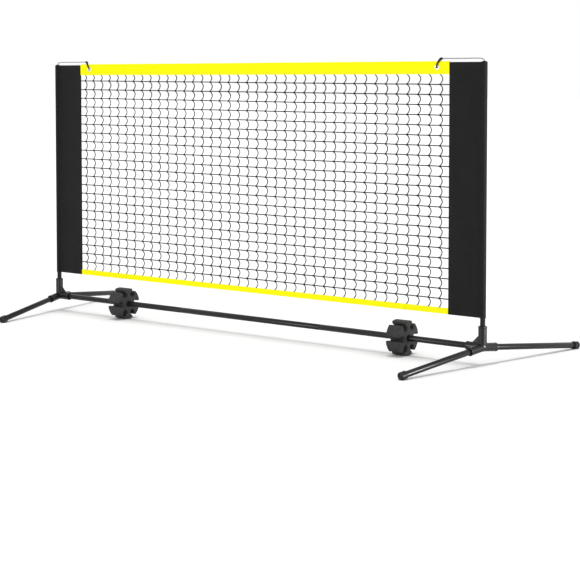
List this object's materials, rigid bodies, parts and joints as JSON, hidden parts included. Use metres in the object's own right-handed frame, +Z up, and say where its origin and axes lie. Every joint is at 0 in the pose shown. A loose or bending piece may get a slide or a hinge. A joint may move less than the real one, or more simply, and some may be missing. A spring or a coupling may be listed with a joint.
{
  "type": "pickleball portable net",
  "caption": "Portable pickleball net with plug-in steel base, angled legs, lobed support wheels, fabric end sleeves, yellow edge tapes and hooked tension cords.",
  "frame": {"origin": "centre of the footprint on the floor; the plane of the net stands 50 mm in front of it, because the rear legs reach further than the front ones", "axes": "+X along the net towards the right post, +Y from the front legs to the rear legs, +Z up"},
  "size_m": [2.0262, 0.794, 0.928],
  "materials": {
    "black_steel": "satin black powder coat on round steel tube",
    "moulded_plastic": "black moulded plastic with a satin sheen",
    "cap_plastic": "matt black moulded plastic",
    "wheel_plastic": "matt dark grey moulded plastic with a fine texture",
    "net_twine": "dark knotted polyethylene twine",
    "yellow_tape": "bright yellow coated fabric binding",
    "sleeve_fabric": "matt black woven polyester",
    "grommet_metal": "bright pressed metal",
    "cord_textile": "dark grey round braided cord",
    "hook_plastic": "black moulded plastic"
  },
  "bodies": {
    "base": {"hub_left": "moulded_plastic", "hub_right": "moulded_plastic", "crossbar_left": "black_steel", "crossbar_middle": "black_steel", "crossbar_right": "black_steel", "crossbar_ferrule_left": "black_steel", "crossbar_ferrule_right": "black_steel"},
    "wheel_left": {"support_wheel_left": "wheel_plastic"},
    "leg_front_left": {"leg_front_left": "black_steel", "leg_cap_front_left": "cap_plastic"},
    "leg_rear_left": {"leg_rear_left": "black_steel", "leg_cap_rear_left": "cap_plastic"},
    "wheel_right": {"support_wheel_right": "wheel_plastic"},
    "leg_front_right": {"leg_front_right": "black_steel", "leg_cap_front_right": "cap_plastic"},
    "leg_rear_right": {"leg_rear_right": "black_steel", "leg_cap_rear_right": "cap_plastic"},
    "net_frame": {"net_mesh": "net_twine", "top_tape": "yellow_tape", "bottom_tape": "yellow_tape", "post_lower_left": "black_steel", "post_upper_left": "black_steel", "post_ferrule_left": "black_steel", "post_cap_left": "cap_plastic", "sleeve_left": "sleeve_fabric", "grommet_front_left": "grommet_metal", "grommet_back_left": "grommet_metal", "tension_cord_left": "cord_textile", "cord_hook_left": "hook_plastic", "post_lower_right": "black_steel", "post_upper_right": "black_steel", "post_ferrule_right": "black_steel", "post_cap_right": "cap_plastic", "sleeve_right": "sleeve_fabric", "grommet_front_right": "grommet_metal", "grommet_back_right": "grommet_metal", "tension_cord_right": "cord_textile", "cord_hook_right": "hook_plastic"}
  },
  "joints": [
    {"name": "left_wheel_spin", "type": "hinge", "parent": "base", "child": "wheel_left", "pos_m": [-0.582, -0.05, 0.0555], "axis": [1, 0, 0], "continuous": true},
    {"name": "front_left_leg_pull", "type": "slide", "parent": "base", "child": "leg_front_left", "axis": [0.1893, -0.9737, -0.127], "range_m": [0, 0.038]},
    {"name": "rear_left_leg_pull", "type": "slide", "parent": "base", "child": "leg_rear_left", "axis": [-0.1899, 0.9768, -0.0988], "range_m": [0, 0.038]},
    {"name": "right_wheel_spin", "type": "hinge", "parent": "base", "child": "wheel_right", "pos_m": [0.624, -0.05, 0.0555], "axis": [1, 0, 0], "continuous": true},
    {"name": "front_right_leg_pull", "type": "slide", "parent": "base", "child": "leg_front_right", "axis": [-0.1893, -0.9737, -0.127], "range_m": [0, 0.038]},
    {"name": "rear_right_leg_pull", "type": "slide", "parent": "base", "child": "leg_rear_right", "axis": [0.1899, 0.9768, -0.0988], "range_m": [0, 0.038]},
    {"name": "net_frame_lift", "type": "slide", "parent": "base", "child": "net_frame", "axis": [0, 0, 1], "range_m": [0, 0.044]}
  ]
}
